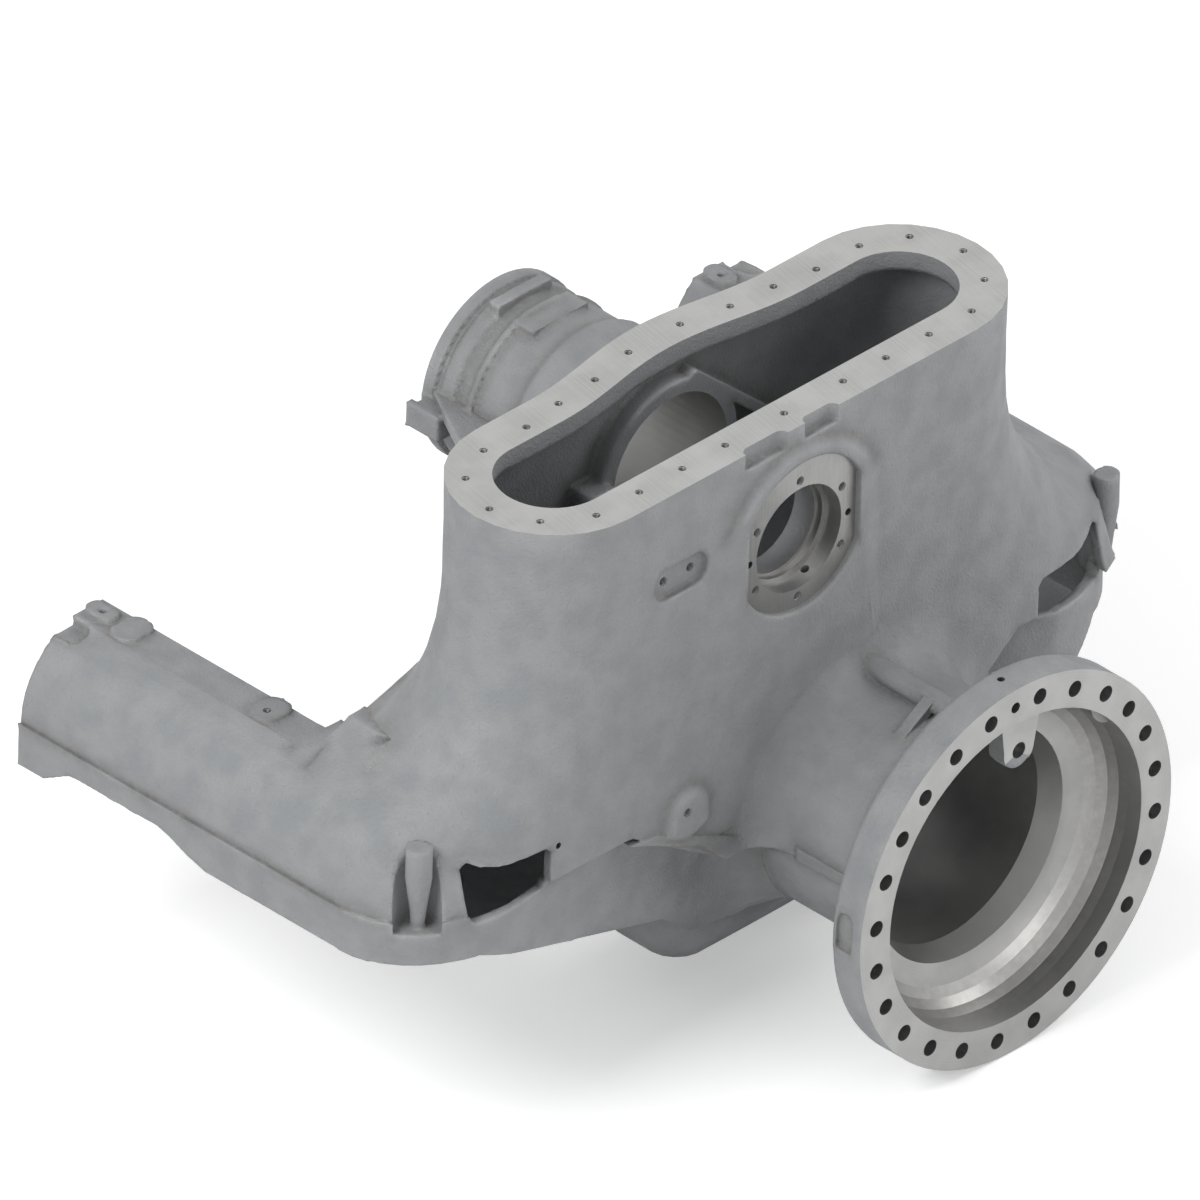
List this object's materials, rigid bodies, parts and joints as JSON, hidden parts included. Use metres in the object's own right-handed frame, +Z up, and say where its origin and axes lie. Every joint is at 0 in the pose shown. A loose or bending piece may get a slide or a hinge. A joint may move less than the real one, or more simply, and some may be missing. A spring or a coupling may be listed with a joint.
{
  "type": "rear axle housing",
  "caption": "Hollow cast rear axle housing: ring flange on an offset neck, flared body with an obround cover opening, input boss, rear drum and two half-round arms.",
  "frame": {"origin": "centre of the ring flange's machined face, on the register bore's axis", "axes": "+X leaves the ring's face, +Z is up through the cover opening, +Y completes the frame; the body's mid plane lies at Y -90 mm"},
  "size_m": [0.789, 1.07, 0.69],
  "materials": {
    "housing": "shot-blasted casting with machined faces"
  },
  "bodies": {
    "root": {"housing": "housing"}
  },
  "joints": []
}
